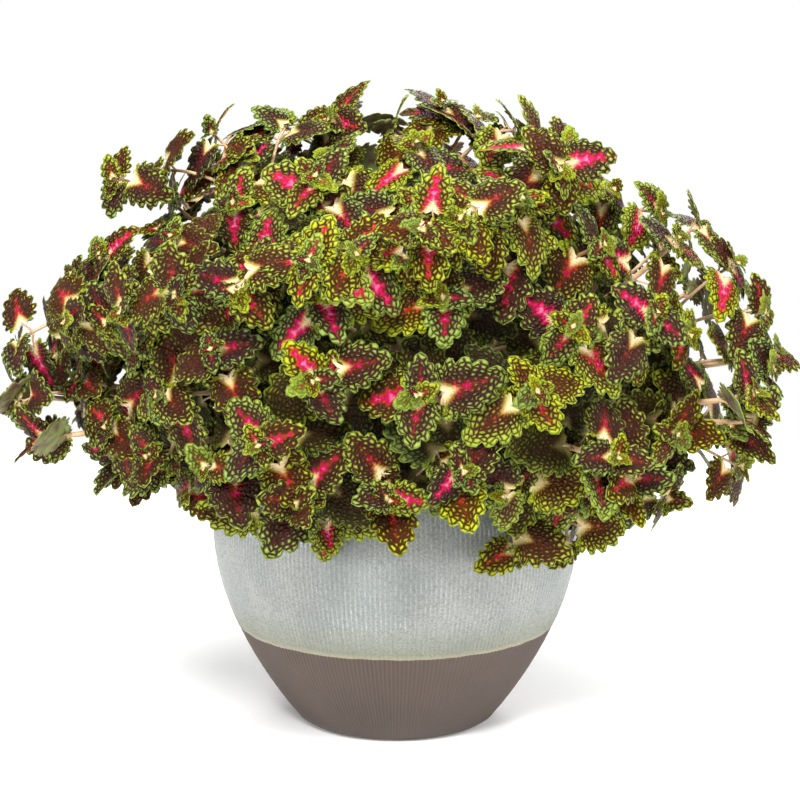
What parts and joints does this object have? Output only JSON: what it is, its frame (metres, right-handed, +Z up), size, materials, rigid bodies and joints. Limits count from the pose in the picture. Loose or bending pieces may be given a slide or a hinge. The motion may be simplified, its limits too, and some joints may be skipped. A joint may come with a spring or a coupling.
{
  "type": "potted coleus",
  "caption": "Coleus in a two-tone stoneware pot: a wide mound of toothed, patterned leaves on square stems that stand in potting mix and hang a little over the rim.",
  "frame": {"origin": "middle of the pot's underside, where it rests on the ground", "axes": "+Z up; +X to the right and -Y towards the viewer of the plant's best side, where a spray hangs over the rim"},
  "size_m": [0.7726, 0.6418, 0.6024],
  "materials": {
    "glazed_stoneware": "glossy pale blue-grey glaze with fine upright ribs over bare matt brown stoneware at the bottom",
    "potting_mix": "crumbly, damp and matt",
    "foliage": "quilted leaves, dark purple with green dots, a bright green rim and a pink heart, on tan stems"
  },
  "bodies": {
    "root": {"pot": "glazed_stoneware", "potting_mix": "potting_mix", "leafy_stem_01": "foliage", "leafy_stem_02": "foliage", "leafy_stem_03": "foliage", "leafy_stem_04": "foliage", "leafy_stem_05": "foliage", "leafy_stem_06": "foliage", "leafy_stem_07": "foliage", "leafy_stem_08": "foliage", "leafy_stem_09": "foliage", "leafy_stem_10": "foliage", "leafy_stem_11": "foliage", "leafy_stem_12": "foliage", "leafy_stem_13": "foliage", "leafy_stem_14": "foliage", "leafy_stem_15": "foliage", "leafy_stem_16": "foliage", "leafy_stem_17": "foliage", "leafy_stem_18": "foliage", "leafy_stem_19": "foliage", "leafy_stem_20": "foliage", "leafy_stem_21": "foliage", "leafy_stem_22": "foliage", "leafy_stem_23": "foliage", "leafy_stem_24": "foliage", "leafy_stem_25": "foliage", "leafy_stem_26": "foliage", "leafy_stem_27": "foliage", "leafy_stem_28": "foliage", "leafy_stem_29": "foliage", "leafy_stem_30": "foliage", "leafy_stem_31": "foliage", "leafy_stem_32": "foliage", "leafy_stem_33": "foliage", "leafy_stem_34": "foliage", "leafy_stem_35": "foliage", "leafy_stem_36": "foliage", "leafy_stem_37": "foliage", "leafy_stem_38": "foliage", "leafy_stem_39": "foliage", "leafy_stem_40": "foliage", "leafy_stem_41": "foliage", "leafy_stem_42": "foliage", "leafy_stem_43": "foliage", "leafy_stem_44": "foliage", "leafy_stem_45": "foliage", "leafy_stem_46": "foliage", "leafy_stem_47": "foliage", "leafy_stem_48": "foliage", "leafy_stem_49": "foliage", "leafy_stem_50": "foliage"}
  },
  "joints": []
}
